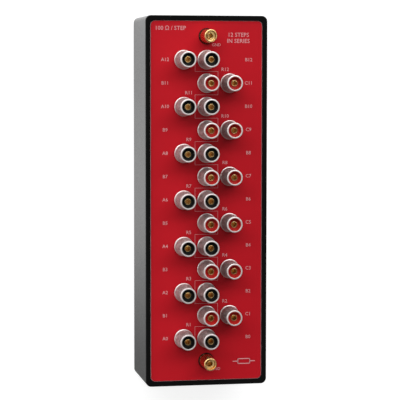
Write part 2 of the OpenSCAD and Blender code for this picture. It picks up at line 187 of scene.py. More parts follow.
height = way.outputs["Z"]
ceiling = ramp(room, height, CEILING_ENDS, CEILING_LIGHT)
round_about = ramp(room, lean.outputs["Value"], WALL_ENDS, WALL_LIGHT)
walls = maths(room, "MULTIPLY", round_about, ramp(room, height, WALL_TOP, (0, 1)))
room.links.new(maths(room, "ADD", ceiling, walls), sky.inputs["Strength"])
room.links.new(sky.outputs[0], out.inputs["Surface"])
sky.inputs["Color"].default_value = (1, 1, 1, 1)
print("world built from", len(room.nodes), "nodes")

# %% [markdown]
# ## Floor
#
# The bench is a plain pale sheet. The photograph's ground is pure white, so the sheet adds a
# glow of its own, but only for rays that look at it: from the camera, through glass, or off a
# polished surface. What falls on the object stays as the lamp gives it, and the soft shadow
# round the case is still there. In the photograph the case's glossy side mirrors a bench that
# falls off towards the near end, so the glow that polished things see does the same. It also
# stays beside the case, because the knobs mirror no bright bench.

# %% Floor sheet
FLOOR_REACH = 4

floor_mesh = bpy.data.meshes.new("floor")
sheet = bmesh.new()
bmesh.ops.create_grid(sheet, x_segments=1, y_segments=1, size=FLOOR_REACH)
sheet.to_mesh(floor_mesh)
sheet.free()
floor = bpy.data.objects.new("floor", floor_mesh)
bpy.context.scene.collection.objects.link(floor)
print("floor of", round(floor.dimensions.x), "m")

# %% Floor finish
PAPER_GREY = (0.36, 0.36, 0.36, 1)
GLOW = 0.83
MIRRORED_NEAR, MIRRORED_FAR = 0.0864, 0.72
NEAR_END, FALL_FROM = -0.17, 0.02
BESIDE = 0.08

paper = bpy.data.materials.new("pale_bench")
paper.use_nodes = True
tree = paper.node_tree
tree.nodes.clear()

matt = tree.nodes.new("ShaderNodeBsdfDiffuse")
matt.inputs["Color"].default_value = PAPER_GREY
rays = tree.nodes.new("ShaderNodeLightPath").outputs
spot = tree.nodes.new("ShaderNodeTexCoord")
ends = tree.nodes.new("ShaderNodeSeparateXYZ")
tree.links.new(spot.outputs["Object"], ends.inputs[0])
fall = ramp(tree, ends.outputs["Y"], (NEAR_END, FALL_FROM), (MIRRORED_NEAR, MIRRORED_FAR))
beside = maths(tree, "LESS_THAN", maths(tree, "ABSOLUTE", ends.outputs["X"], 0), BESIDE)
mirrored = maths(tree, "MULTIPLY", rays["Is Glossy Ray"], maths(tree, "MULTIPLY", fall, beside))
looked_at = maths(tree, "MAXIMUM", rays["Is Camera Ray"], rays["Is Transmission Ray"])
strength = maths(tree, "MAXIMUM", maths(tree, "MULTIPLY", looked_at, GLOW), mirrored)
glow = tree.nodes.new("ShaderNodeEmission")
both = tree.nodes.new("ShaderNodeAddShader")
out = tree.nodes.new("ShaderNodeOutputMaterial")
tree.links.new(strength, glow.inputs["Strength"])
tree.links.new(matt.outputs[0], both.inputs[0])
tree.links.new(glow.outputs[0], both.inputs[1])
tree.links.new(both.outputs[0], out.inputs["Surface"])
floor_mesh.materials.append(paper)
print("finish on the floor")

# %% [markdown]
# ## Shared effects
#
# Four small effects come back on many finishes: a fine grain that varies the roughness, a
# film of dust on what faces up, the rings that a lathe leaves, and a slow change of tone. Each
# is a node group with named sockets, built once and set differently in every material.

# %% Helpers for node groups
FLOAT, COLOUR, VECTOR = "NodeSocketFloat", "NodeSocketColor", "NodeSocketVector"


def new_group(name, takes, gives):
    """A shader node group, with the sockets that it takes and gives to its own nodes."""
    group = bpy.data.node_groups.new(name, "ShaderNodeTree")
    for socket, kind, default in takes:
        item = group.interface.new_socket(socket, in_out="INPUT", socket_type=kind)
        if default is not None:
            item.default_value = default
    for socket, kind in gives:
        group.interface.new_socket(socket, in_out="OUTPUT", socket_type=kind)
    take = group.nodes.new("NodeGroupInput")
    give = group.nodes.new("NodeGroupOutput")
    return group, take.outputs, give.inputs


def noise_of(tree, vector, scale, detail):
    """The value of a Noise texture, its scale and detail from sockets or numbers."""
    node = tree.nodes.new("ShaderNodeTexNoise")
    tree.links.new(vector, node.inputs["Vector"])
    feed(tree, node.inputs["Scale"], scale)
    feed(tree, node.inputs["Detail"], detail)
    return node.outputs["Fac"]


# %% [markdown]
# Grain is a noise of a millimetre or so. Where it is high the surface is a little rougher
# and a little higher, so that the light breaks up as it does on paint, plastic or metal.

# %% Group for fine grain
GRAIN_DETAIL = 4
GRAIN_ENDS = (0.35, 0.65)

grain, take, give = new_group(
    "fine_grain",
    [
        ("Vector", VECTOR, None),
        ("Scale", FLOAT, 900.0),
        ("Smoothest", FLOAT, 0.2),
        ("Roughest", FLOAT, 0.4),
    ],
    [("Roughness", FLOAT), ("Height", FLOAT)],
)
fine = noise_of(grain, take["Vector"], take["Scale"], GRAIN_DETAIL)
rough = ramp(grain, fine, GRAIN_ENDS, (take["Smoothest"], take["Roughest"]), "LINEAR")
grain.links.new(rough, give["Roughness"])
grain.links.new(fine, give["Height"])
print("group", grain.name)

# %% [markdown]
# Dust settles on what faces up, in patches of a centimetre or two. The normal's height masks
# the sides and the noise breaks up the rest. Two colours are mixed in most finishes, so the
# Mix node gets a helper as well.

# %% Group for dust
DUST_DETAIL = 6


def facing_up(tree):
    """How far a surface faces up, 1 on a level top."""
    surface = tree.nodes.new("ShaderNodeNewGeometry")
    parts = tree.nodes.new("ShaderNodeSeparateXYZ")
    tree.links.new(surface.outputs["Normal"], parts.inputs[0])
    return parts.outputs["Z"]


def mixed(tree, factor, first, second):
    """A mix of two colours, each a socket or four numbers."""
    node = tree.nodes.new("ShaderNodeMix")
    node.data_type = "RGBA"
    tree.links.new(factor, node.inputs["Factor"])
    feed(tree, node.inputs["A"], first)
    feed(tree, node.inputs["B"], second)
    return node.outputs["Result"]


dust, take, give = new_group(
    "dust_film",
    [
        ("Vector", VECTOR, None),
        ("Color", COLOUR, None),
        ("Dust", COLOUR, (0.45, 0.42, 0.38, 1)),
        ("Amount", FLOAT, 0.1),
        ("Scale", FLOAT, 60.0),
    ],
    [("Color", COLOUR)],
)
patches = noise_of(dust, take["Vector"], take["Scale"], DUST_DETAIL)
settled = maths(dust, "MULTIPLY", facing_up(dust), patches)
amount = maths(dust, "MULTIPLY", settled, take["Amount"])
dust.links.new(mixed(dust, amount, take["Color"], take["Dust"]), give["Color"])
print("group", dust.name)

# %% [markdown]
# A turned piece carries rings round its own axis. The distance from the axis plus the height
# is the same all round a ring, on a face as well as on a side, so a noise along that one
# number draws them.

# %% Group for turning marks
LATHE_DETAIL = 2
LATHE_ENDS = (0.3, 0.7)

turning, take, give = new_group(
    "turned_marks",
    [
        ("Vector", VECTOR, None),
        ("Lines", FLOAT, 4000.0),
        ("Smoothest", FLOAT, 0.1),
        ("Roughest", FLOAT, 0.3),
    ],
    [("Roughness", FLOAT), ("Height", FLOAT)],
)
parts = turning.nodes.new("ShaderNodeSeparateXYZ")
flat = turning.nodes.new("ShaderNodeCombineXYZ")
reach = turning.nodes.new("ShaderNodeVectorMath")
reach.operation = "LENGTH"
turning.links.new(take["Vector"], parts.inputs[0])
turning.links.new(parts.outputs["X"], flat.inputs["X"])
turning.links.new(parts.outputs["Y"], flat.inputs["Y"])
turning.links.new(flat.outputs[0], reach.inputs[0])
along = maths(turning, "ADD", reach.outputs["Value"], parts.outputs["Z"])

rings = turning.nodes.new("ShaderNodeTexNoise")
rings.noise_dimensions = "1D"
rings.inputs["Detail"].default_value = LATHE_DETAIL
turning.links.new(along, rings.inputs["W"])
turning.links.new(take["Lines"], rings.inputs["Scale"])
height = rings.outputs["Fac"]
rough = ramp(turning, height, LATHE_ENDS, (take["Smoothest"], take["Roughest"]), "LINEAR")
turning.links.new(rough, give["Roughness"])
turning.links.new(height, give["Height"])
print("group", turning.name)

# %% [markdown]
# No metal and no sheet is quite one colour all over. A soft noise between a darker and a
# lighter tone of it is enough, and each finish sets how wide the patches are.

# %% Group for a change of tone
mottle, take, give = new_group(
    "change_of_tone",
    [
        ("Vector", VECTOR, None),
        ("Scale", FLOAT, 100.0),
        ("Detail", FLOAT, 2.0),
        ("Dark", COLOUR, None),
        ("Light", COLOUR, None),
    ],
    [("Color", COLOUR)],
)
patches = noise_of(mottle, take["Vector"], take["Scale"], take["Detail"])
mottle.links.new(mixed(mottle, patches, take["Dark"], take["Light"]), give["Color"])
print("group", mottle.name)

# %% [markdown]
# ## Finishes
#
# Every finish starts from the same small function. It makes a Principled shader, sets what is
# the same all over on the shader's own sockets, and returns them so that a group can be placed
# in front of them.


# %% Start a finish
def finish_of(name, colour, roughness, metallic=0.0, gloss=0.5):
    """A material with one Principled shader: the material, its tree and the shader's sockets."""
    made = bpy.data.materials.new(name)
    made.use_nodes = True
    shader = made.node_tree.nodes["Principled BSDF"].inputs
    shader["Base Color"].default_value = (*colour, 1)
    shader["Roughness"].default_value = roughness
    shader["Metallic"].default_value = metallic
    shader["Specular IOR Level"].default_value = gloss
    return made, made.node_tree, shader


def object_point(tree):
    """Where a point lies on the object, in Object coordinates."""
    return tree.nodes.new("ShaderNodeTexCoord").outputs["Object"]


def place_group(tree, group, vector, **values):
    """The outputs of a node that holds a group, with its own values."""
    holder = tree.nodes.new("ShaderNodeGroup")
    holder.node_tree = group
    tree.links.new(vector, holder.inputs["Vector"])
    for socket, value in values.items():
        holder.inputs[socket].default_value = value
    return holder.outputs


def raise_bump(tree, shader, height, depth):
    """Feed a height through a Bump node into the shader."""
    bump = tree.nodes.new("ShaderNodeBump")
    bump.inputs["Distance"].default_value = depth
    tree.links.new(height, bump.inputs["Height"])
    tree.links.new(bump.outputs["Normal"], shader["Normal"])


# %% [markdown]
# Moulded and painted pieces share one recipe: grain for the roughness and the bump, and a
# trace of dust in the colour. Only the numbers differ between paint, plastic and rubber.


# %% Recipe for paint, plastic and rubber
def add_grain(tree, shader, scale, roughness, depth):
    """Lay the fine grain over a finish, as roughness and as a bump."""
    smoothest, roughest = roughness
    texture = place_group(
        tree, grain, object_point(tree), Scale=scale, Smoothest=smoothest, Roughest=roughest
    )
    tree.links.new(texture["Roughness"], shader["Roughness"])
    raise_bump(tree, shader, texture["Height"], depth)


def moulded(name, colour, roughness, gloss=0.5, scale=900.0, depth=0.00003, dusty=0.05):
    """A painted or moulded finish with a fine grain and a trace of dust."""
    made, tree, shader = finish_of(name, colour, sum(roughness) / 2, gloss=gloss)
    add_grain(tree, shader, scale, roughness, depth)
    film = place_group(tree, dust, object_point(tree), Color=(*colour, 1), Amount=dusty)
    tree.links.new(film["Color"], shader["Base Color"])
    return made


# %% Paint, plastic and rubber
black_paint = moulded(
    "black_paint", (0.002, 0.002, 0.002), (0.10, 0.20),
    gloss=0.06, scale=700, depth=0.00001, dusty=0.003,
)
black_plastic = moulded(
    "black_plastic", (0.004, 0.004, 0.003), (0.28, 0.42), gloss=0.1, dusty=0.004
)
red_plastic = moulded(
    "red_plastic", (0.36, 0.010, 0.007), (0.25, 0.4), gloss=0.12, dusty=0.01
)
rubber = moulded(
    "rubber", (0.02, 0.02, 0.02), (0.7, 0.9), gloss=0.3, scale=1500, depth=0.00008, dusty=0.15
)
print("paint, two plastics and rubber")

# %% [markdown]
# The red panel is an engraving laminate: a thin red face on a white core. Along the bevelled
# edge the colour turns a pale pink, so a fine pale line runs round the panel. The bevel
# is in the CAD mesh already, and the normal's height tells it from the face, so the line needs
# no piece of its own.

# %% Red laminate
RED = (0.45, 0.007, 0.014)
RED_DARK, RED_LIGHT = (0.405, 0.007, 0.014, 1), (0.486, 0.0077, 0.0154, 1)
PALE_EDGE = (0.62, 0.42, 0.44, 1)
FACE_TO_BEVEL = (0.95, 0.85)

red_laminate, tree, shader = finish_of("red_laminate", RED, 0.35, gloss=0.08)
add_grain(tree, shader, scale=1200.0, roughness=(0.3, 0.42), depth=0.00001)
face = place_group(
    tree, mottle, object_point(tree), Scale=14, Detail=3, Dark=RED_DARK, Light=RED_LIGHT
)
# The bevel, whose faces do not face straight up, takes the pale pink.
bevel = ramp(tree, facing_up(tree), FACE_TO_BEVEL, (0, 1), "LINEAR")
tree.links.new(mixed(tree, bevel, face["Color"], PALE_EDGE), shader["Base Color"])
print("laminate")

# %% [markdown]
# Turned metal takes the rings of the lathe. Object coordinates alone would centre them on the
# case, so each turned piece remembers, for every vertex, where it lies from its own axis, in
# an attribute named from_axis. One material then serves all the knobs, although each stands
# somewhere else.

# %% Recipe for turned metal
LATHE_LINES = 4000.0
LATHE_DEPTH = 0.000004


def add_tone(tree, shader, colour, scale, darkest):
    """Let a metal's colour fall in patches to a darker share of itself."""
    dark = (*(c * darkest for c in colour), 1)
    tone = place_group(
        tree, mottle, object_point(tree), Scale=scale, Dark=dark, Light=(*colour, 1)
    )
    tree.links.new(tone["Color"], shader["Base Color"])


def turned(name, colour, roughness):
    """A metal finish with turning marks round the axis that a piece remembers."""
    made, tree, shader = finish_of(name, colour, sum(roughness) / 2, metallic=1.0)
    add_tone(tree, shader, colour, scale=300, darkest=0.88)
    axis = tree.nodes.new("ShaderNodeAttribute")
    axis.attribute_name = "from_axis"
    smoothest, roughest = roughness
    marks = place_group(
        tree, turning, axis.outputs["Vector"],
        Lines=LATHE_LINES, Smoothest=smoothest, Roughest=roughest,
    )
    tree.links.new(marks["Roughness"], shader["Roughness"])
    raise_bump(tree, shader, marks["Height"], LATHE_DEPTH)
    return made


# %% [markdown]
# The valleys of a knurl lie in shade, so the nickel gets a painted shade there. Where it lies
# is no matter of noise, so the knob says it itself, in an attribute named groove that is 1 at
# the bottom of a valley. A noise only makes it uneven.

# %% Nickel and gilt
# Colour of the painted shade in the knurl's valleys, and the noise that makes it uneven.
SHADE_COLOUR = (0.25, 0.215, 0.20, 1)
SHADE_NOISE_SCALE, SHADE_NOISE_DETAIL = 560, 2
PATCH_ENDS, PATCH_LEVELS = (0.40, 0.60), (0.84, 1.14)
VALLEY_ENDS = (0.40, 1.0)


def paint_groove_shade(made):
    """Mix a painted shade into the colour of a finish where a piece's attribute says groove."""
    tree = made.node_tree
    colour = tree.nodes["Principled BSDF"].inputs["Base Color"]
    bare = colour.links[0].from_socket
    groove = tree.nodes.new("ShaderNodeAttribute")
    groove.attribute_name = "groove"
    patches = noise_of(tree, object_point(tree), SHADE_NOISE_SCALE, SHADE_NOISE_DETAIL)
    uneven = ramp(tree, patches, PATCH_ENDS, PATCH_LEVELS)
    amount = maths(tree, "MULTIPLY", groove.outputs["Fac"], uneven)
    shaded = ramp(tree, amount, VALLEY_ENDS, (0, 1))
    tree.links.new(mixed(tree, shaded, bare, SHADE_COLOUR), colour)


nickel = turned("nickel", (0.78, 0.73, 0.72), (0.42, 0.56))
# The knobs' nickel takes the painted shade in its knurl's valleys.
paint_groove_shade(nickel)
gilt = turned("gilt", (0.85, 0.58, 0.25), (0.16, 0.30))
print("nickel and gilt")

# %% [markdown]
# Inside the case nothing is turned for show: bought screws and nuts, bent copper and sawn
# board. The metals only vary softly from place to place.


# %% Steel, brass and copper
def plain_metal(name, colour, roughness):
    """A metal finish without a direction, from grain and a slow change of tone."""
    made, tree, shader = finish_of(name, colour, sum(roughness) / 2, metallic=1.0)
    add_grain(tree, shader, scale=500.0, roughness=roughness, depth=0.000005)
    add_tone(tree, shader, colour, scale=80, darkest=0.75)
    return made


steel = plain_metal("steel", (0.55, 0.55, 0.54), (0.25, 0.4))
brass = plain_metal("brass", (0.80, 0.58, 0.28), (0.25, 0.4))
copper = plain_metal("copper", (0.80, 0.42, 0.28), (0.3, 0.5))
print("steel, brass and copper")

# %% [markdown]
# The plate and the board are resin laminates, dark and brown. A resistor is enamelled wire on
# a bobbin: fine turns across its axis, which a Wave texture draws as bands.

# %% Boards and wire
WIRE = (0.32, 0.12, 0.04)
WIRE_DARK, WIRE_LIGHT = (0.16, 0.055, 0.02, 1), (0.42, 0.17, 0.06, 1)
WIRE_BANDS, WIRE_WAVER = 900, 0.6
WIRE_DEPTH = 0.0001

dark_laminate = moulded("dark_laminate", (0.03, 0.025, 0.022), (0.45, 0.6), scale=500)
brown_laminate = moulded(
    "brown_laminate", (0.22, 0.09, 0.035), (0.45, 0.65), scale=300, depth=0.00005
)

enamel_wire, tree, shader = finish_of("enamel_wire", WIRE, 0.35)
turns = tree.nodes.new("ShaderNodeTexWave")
turns.bands_direction = "Z"
turns.inputs["Scale"].default_value = WIRE_BANDS
turns.inputs["Distortion"].default_value = WIRE_WAVER
tree.links.new(object_point(tree), turns.inputs["Vector"])
banded = mixed(tree, turns.outputs["Fac"], WIRE_DARK, WIRE_LIGHT)
tree.links.new(banded, shader["Base Color"])
raise_bump(tree, shader, turns.outputs["Fac"], WIRE_DEPTH)
print("laminates and wire")

# %% [markdown]
# ## Carried-over CAD nodes
#
# The case, the panel, the bushes and everything inside have the right shape already. Building
# them again would only bring in differences, so they stay as they are and take a finish.

# %% Dress the CAD nodes
STEPS = 12
FINISH_OF_NODE = {
    "case": black_paint,
    "front_panel": red_laminate,
    "terminal_plate": dark_laminate,
    "plate_screws": steel,
    "post_bushes": black_plastic,
    "post_washers": black_plastic,
    "stud_nuts": brass,
    "junction_bars": copper,
    "ground_straps": copper,
    "strap_screws": steel,
    "resistor_board": brown_laminate,
    "board_pillars": brass,
    "board_screws": steel,
    "bobbin_screws": steel,
    "resistor_leads": copper,
    "feet": rubber,
    "foot_screws": steel,
}
for number in range(1, STEPS + 1):
    FINISH_OF_NODE[f"resistor_{number}"] = enamel_wire
for node, finish in FINISH_OF_NODE.items():
    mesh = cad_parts[node].data
    mesh.materials.clear()
    mesh.materials.append(finish)
print("finishes on", len(FINISH_OF_NODE), "nodes")

# %% [markdown]
# ## Turned pieces
#
# A knob, its insert and a stud are all bodies of revolution. Their half-section is drawn as a
# closed outline of a few points, its corners are rounded by a vertex bevel, and a full spin
# round the axis closes it. Each point has its radius, its height and its rounding, in
# millimetres.

# %% Spin an outline
ROUNDING_STEPS = 3
SAME_POINT, NO_LENGTH = 1e-6, 1e-7


def outline(points):
    """A closed wire in the XZ plane from (radius, height, rounding) points in mm."""
    bm = bmesh.new()
    corners = [bm.verts.new((r * MM, 0, z * MM)) for r, z, _ in points]
    for a, b in zip(corners, corners[1:] + corners[:1]):
        bm.edges.new((a, b))
    for rounding in sorted({p[2] for p in points if p[2]}):
        bmesh.ops.bevel(
            bm,
            geom=[v for v, p in zip(corners, points) if p[2] == rounding],
            affect="VERTICES",
            offset=rounding * MM,
            segments=ROUNDING_STEPS,
            profile=0.5,
            material=-1,
        )
    return bm


def spin_round(bm, steps):
    """Spin the wire once round the Z axis and close the shape."""
    bmesh.ops.spin(
        bm, geom=bm.verts[:] + bm.edges[:], cent=(0, 0, 0), axis=(0, 0, 1),
        angle=math.tau, steps=steps, use_merge=True,
    )
    bmesh.ops.remove_doubles(bm, verts=bm.verts[:], dist=SAME_POINT)
    bmesh.ops.dissolve_degenerate(bm, edges=bm.edges[:], dist=NO_LENGTH)
    bmesh.ops.recalc_face_normals(bm, faces=bm.faces[:])
    return bm


# %% [markdown]
# A turned piece is made once, at the origin. Before it moves to its place it remembers where
# each vertex lies from the axis, for the turning marks. A copy is then carried to each post.


# %% Set a turned piece in its place
def remember_axis(bm):
    """Keep each vertex's place from the piece's own axis in the attribute from_axis."""
    layer = bm.verts.layers.float_vector.new("from_axis")
    for v in bm.verts:
        v[layer] = v.co


def put(bm, name, finish, body, sharp=30):
    """Turn a finished bmesh into a piece that rides on a body."""
    mesh = bpy.data.meshes.new(name)
    bm.to_mesh(mesh)
    bm.free()
    mesh.materials.append(finish)
    mesh.shade_smooth()
    mesh.set_sharp_from_angle(angle=math.radians(sharp))
    obj = bpy.data.objects.new(name, mesh)
    bpy.context.scene.collection.objects.link(obj)
    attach(obj, body)
    return obj


def at(bm, place, turn=0.0):
    """A copy of a bmesh, turned round its axis and set down at a place."""
    copy = bm.copy()
    rotation = Matrix.Rotation(turn, 3, "Z")
    bmesh.ops.rotate(copy, verts=copy.verts[:], cent=(0, 0, 0), matrix=rotation)
    bmesh.ops.translate(copy, verts=copy.verts[:], vec=place)
    return copy


# %% [markdown]
# ## The knob
#
# The knob is a tapered nickel-plated sleeve with a plain flange at its foot, a plain ring at
# its front and a diamond knurl between them. A knurling tool presses two sets of spiral
# grooves that leave small pyramids. A bump texture would leave the knob's edge smooth, so the
# pyramids are modelled. To get them from operators, the band is first a plain grid. Poking
# each cell puts a vertex in its middle, and dissolving the old grid leaves diamonds. Poking
# the diamonds outwards raises the pyramids. What stays low is marked in the attribute groove,
# where the nickel gets a painted shade.

# %% Knob sizes
KNOB_L = 22.0
BASE_R = 7.9
FRONT_R = 6.55
INSERT_R = 5.3
FOOT_T = 2.0
FOOT_BORE_R = 2.9
FLANGE_T = 0.8
FLANGE_STEP = 0.3
FLANGE_EDGE = 0.3
RING_T = 1.2
RING_STEP = 0.15
RING_EDGE = 0.5
KNURL_GAP = 0.15
KNURL_DEPTH = 0.4
KNURL_ROUND = 38
KNURL_ROWS = 10

knurl_foot = (BASE_R - FLANGE_STEP - KNURL_DEPTH, FLANGE_T + KNURL_GAP)
knurl_front = (FRONT_R - RING_STEP - KNURL_DEPTH, KNOB_L - RING_T - KNURL_GAP)


def along_knurl(share):
    """A point of the knurled band's outline, 0 at its foot and 1 at its front."""
    r = knurl_foot[0] + (knurl_front[0] - knurl_foot[0]) * share
    z = knurl_foot[1] + (knurl_front[1] - knurl_foot[1]) * share
    return (r, z, 0)


print("knurled band from", knurl_foot, "to", knurl_front, "mm")

# %% Spin the shell of the knob
shell_points = [(FOOT_BORE_R, 0, 0), (BASE_R, 0, FLANGE_EDGE), (BASE_R, FLANGE_T, FLANGE_EDGE)]
shell_points += [along_knurl(k / KNURL_ROWS) for k in range(KNURL_ROWS + 1)]
shell_points += [
    (FRONT_R, KNOB_L - RING_T, 0.1),
    (FRONT_R, KNOB_L, RING_EDGE),
    (INSERT_R, KNOB_L, 0.15),
    (INSERT_R, FOOT_T, 0),
    (FOOT_BORE_R, FOOT_T, 0),
]
shell = spin_round(outline(shell_points), KNURL_ROUND)
print("plain shell:", len(shell.faces), "faces")

# %% Knurl the band
# How much painted shade the knurl's tips and its valleys take.
TIP_SHADE, VALLEY_SHADE = 0.2, 1.0


def in_band(face):
    """Whether a face of the shell lies on the outside between the flange and the ring."""
    centre = face.calc_center_median()
    outside = centre.xy.length > (INSERT_R + KNURL_DEPTH) * MM
    return outside and knurl_foot[1] * MM < centre.z < knurl_front[1] * MM


cells = [f for f in shell.faces if in_band(f)]
grid = {e for f in cells for e in f.edges if all(in_band(side) for side in e.link_faces)}
bmesh.ops.poke(shell, faces=cells, offset=0)
bmesh.ops.dissolve_edges(shell, edges=list(grid), use_verts=False)
diamonds = [f for f in shell.faces if in_band(f) and len(f.verts) == 4]
# The attribute groove marks where the nickel gets its painted shade.
groove = shell.verts.layers.float.new("groove")
raised = bmesh.ops.poke(shell, faces=diamonds, offset=KNURL_DEPTH * MM)
tips = set(raised["verts"])
for v in {v for f in raised["faces"] for v in f.verts}:
    v[groove] = TIP_SHADE if v in tips else VALLEY_SHADE
bmesh.ops.recalc_face_normals(shell, faces=shell.faces[:])
remember_axis(shell)
print(len(diamonds), "pyramids on one knob,", len(shell.faces), "faces")

# %% [markdown]
# The insert is a moulded cup pressed into the sleeve, black on the even steps and red on the
# odd ones. Its floor lies 3.6 mm below the ring and the stud comes up through it. It is a
# piece of its own, spun like the sleeve, so that plastic and nickel meet in a clean line.

# %% Spin the insert
BORE_R = 2.65
INSERT_GAP = 0.02
INSERT_WALL = 0.6
CUP_DEPTH = 3.6
LIP_DROP = 0.3
ROUND_STEPS = 48

insert_r = INSERT_R - INSERT_GAP
cup_r = insert_r - INSERT_WALL
insert_points = [
    (BORE_R, FOOT_T + INSERT_GAP, 0),
    (insert_r, FOOT_T + INSERT_GAP, 0),
    (insert_r, KNOB_L - LIP_DROP, 0.1),
    (cup_r, KNOB_L - LIP_DROP, 0.25),
    (cup_r, KNOB_L - CUP_DEPTH, 1.0),
    (BORE_R, KNOB_L - CUP_DEPTH, 0.15),
]
insert = spin_round(outline(insert_points), ROUND_STEPS)
remember_axis(insert)
print("insert:", len(insert.faces), "faces")

# %% [markdown]
# A screwed knob stops wherever its thread runs out, so neighbours stand at different turns. A
# few angles, in radians, are enough for that. A node's name ends with the number of its step.

# %% Set the knobs on their posts
KNOB_TURNS = (0.0, 1.9, 0.7, 2.6, 1.2)
NUMBER_FROM = len("knob_a")

for count, node in enumerate(knob_nodes):
    foot = foot_of(node)
    turn = KNOB_TURNS[count % len(KNOB_TURNS)]
    odd = int(node[NUMBER_FROM:]) % 2 == 1
    sleeve = put(at(shell, foot, turn), f"{node}_sleeve", nickel, node)
    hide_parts(node)
    plastic, slot = (red_plastic, "red_plastic") if odd else (black_plastic, "black_plastic")
    cup = put(at(insert, foot, turn), f"{node}_insert", plastic, node)
    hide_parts(node)
print(len(knob_nodes), "knobs set")

# %% [markdown]
# ## The studs
#
# A stud is gilt and turned in one: a collar that the wire is clamped against, a thread for
# the knob with a plug socket in its end, and a tail behind the panel. The thread is one
# triangle swept round the axis and up at the same time, which spin does when it gets a step
# along the axis. A Screw modifier winds the same shape, but the operator leaves a mesh that
# can be copied at once. The triangle's foot sinks into the rod's core, and its tip stays just
# inside the rod's full radius.

# %% Thread a rod
THREAD_PITCH = 0.8
HALF_RIDGE = 0.42 * THREAD_PITCH
ROOT_SINK = 0.05
TIP_INSET = 0.03
STEPS_PER_TURN = 20


def thread(bm, core_r, full_r, foot, top):
    """Wind a closed ridge round the Z axis from foot to top, all in mm."""
    root, tip = core_r - ROOT_SINK, full_r - TIP_INSET
    ridge = [
        bm.verts.new((r * MM, 0, (foot + z) * MM))
        for r, z in ((root, -HALF_RIDGE), (tip, 0), (root, HALF_RIDGE))
    ]
    edges = [bm.edges.new((ridge[k - 1], ridge[k])) for k in range(3)]
    turns = int((top - foot) / THREAD_PITCH)
    steps = turns * STEPS_PER_TURN
    wound = bmesh.ops.spin(
        bm, geom=ridge + edges, cent=(0, 0, 0), axis=(0, 0, 1), angle=math.tau * turns,
        dvec=(0, 0, THREAD_PITCH * turns / steps * MM), steps=steps, use_merge=False,
    )
    bm.faces.new(reversed(ridge))
    bm.faces.new([g for g in wound["geom_last"] if isinstance(g, bmesh.types.BMVert)])


# %% Turn a stud
SOCKET_R = 2.0
STUD_R = 2.45
STUD_CORE_R = 2.1
STUD_STEPS = 36
LIP_L, LIP_SLOPE = 0.6, 0.3
TAIL_R = 2.5
TAIL_CORE_R = 2.2
RUN_IN, RUN_OUT = 0.5, 1.2
TAIL_RUN_IN, TAIL_THREAD_END = 0.6, -8.0


def stud(collar_r, collar_t, top, tail, depth):
    """A threaded stud with a plug socket, its collar's underside at the origin, in mm."""
    points = [
        (0, -tail, 0), (TAIL_CORE_R, -tail, 0.15), (TAIL_CORE_R, 0, 0),
        (collar_r, 0, 0.12), (collar_r, collar_t, 0.2), (STUD_CORE_R, collar_t, 0.1),
        (STUD_CORE_R, top - LIP_L - LIP_SLOPE, 0.1), (STUD_R, top - LIP_L, 0.1),
        (STUD_R, top, 0.28), (SOCKET_R, top, 0.2), (SOCKET_R, top - depth, 0.3),
        (0, top - depth, 0),
    ]
    bm = spin_round(outline(points), STUD_STEPS)
    thread(bm, STUD_CORE_R, STUD_R, collar_t + RUN_IN, top - RUN_OUT)
    thread(bm, TAIL_CORE_R, TAIL_R, TAIL_RUN_IN - tail, TAIL_THREAD_END)
    bmesh.ops.recalc_face_normals(bm, faces=bm.faces[:])
    remember_axis(bm)
    return bm


# %% Join copies of one shape
def joined(name, template, places, finish, nodes):
    """One piece on the case from copies of a bmesh at several places."""
    whole = bmesh.new()
    kept = bpy.data.meshes.new(name + "_copy")
    for place in places:
        copy = at(template, place)
        copy.to_mesh(kept)
        whole.from_mesh(kept)
        copy.free()
    bpy.data.meshes.remove(kept)
    obj = put(whole, name, finish, "case_body")
    if nodes:
        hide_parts(*nodes)
    return obj


# %% Set the studs
COLLAR_R, COLLAR_T = 7.2, 0.8
SOCKET_DEPTH = 17.0

stud_low, stud_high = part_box("post_studs")
collar_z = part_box("post_bushes")[1].z
post_places = [Vector((*foot_of(n).xy, collar_z)) for n in knob_nodes]
above, below = (stud_high.z - collar_z) / MM, (collar_z - stud_low.z) / MM
post_stud = stud(COLLAR_R, COLLAR_T, above, below, SOCKET_DEPTH)
studs = joined("post_studs_gilt", post_stud, post_places, gilt, ["post_studs"])
print("studs:", len(studs.data.polygons), "faces")

# %% [markdown]
# ## The ground posts
#
# The two ground posts are gilt all over and stand without a bush, straight on the panel. A
# thin black ring round their collars is painted shade: it stands for the dark shade round
# their feet. The knob is shorter than the others, smooth, with a broad rounded lip round its
# mouth. Knob, stud and ring are spun with the helpers that made the other posts.

# %% Ground knobs
GROUND_KNOBS = ("ground_knob_low", "ground_knob_high")
GROUND_L = 18.2
GROUND_BASE_R = 5.9
GROUND_BASE_T = 1.2
GROUND_BASE_SLOPE = 0.05
GROUND_FRONT_R = 5.2
MOUTH_R = 4.1
MOUTH_DEPTH = 4.4

ground_points = [
    (BORE_R, 0, 0), (GROUND_BASE_R, 0, 0.3),
    (GROUND_BASE_R - GROUND_BASE_SLOPE, GROUND_BASE_T, 0.1),
    (GROUND_FRONT_R, GROUND_L, 0.7), (MOUTH_R, GROUND_L, 0.4),
    (MOUTH_R, GROUND_L - MOUTH_DEPTH, 0.3), (BORE_R, GROUND_L - MOUTH_DEPTH, 0.1),
]
ground_knob = spin_round(outline(ground_points), ROUND_STEPS)
remember_axis(ground_knob)
for node in GROUND_KNOBS:
    turned_knob = put(at(ground_knob, foot_of(node)), f"{node}_gilt", gilt, node)
    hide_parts(node)
print(len(GROUND_KNOBS), "ground knobs of", len(ground_knob.faces), "faces")

# %% Ground studs
GROUND_SOCKET_DEPTH = 14.0

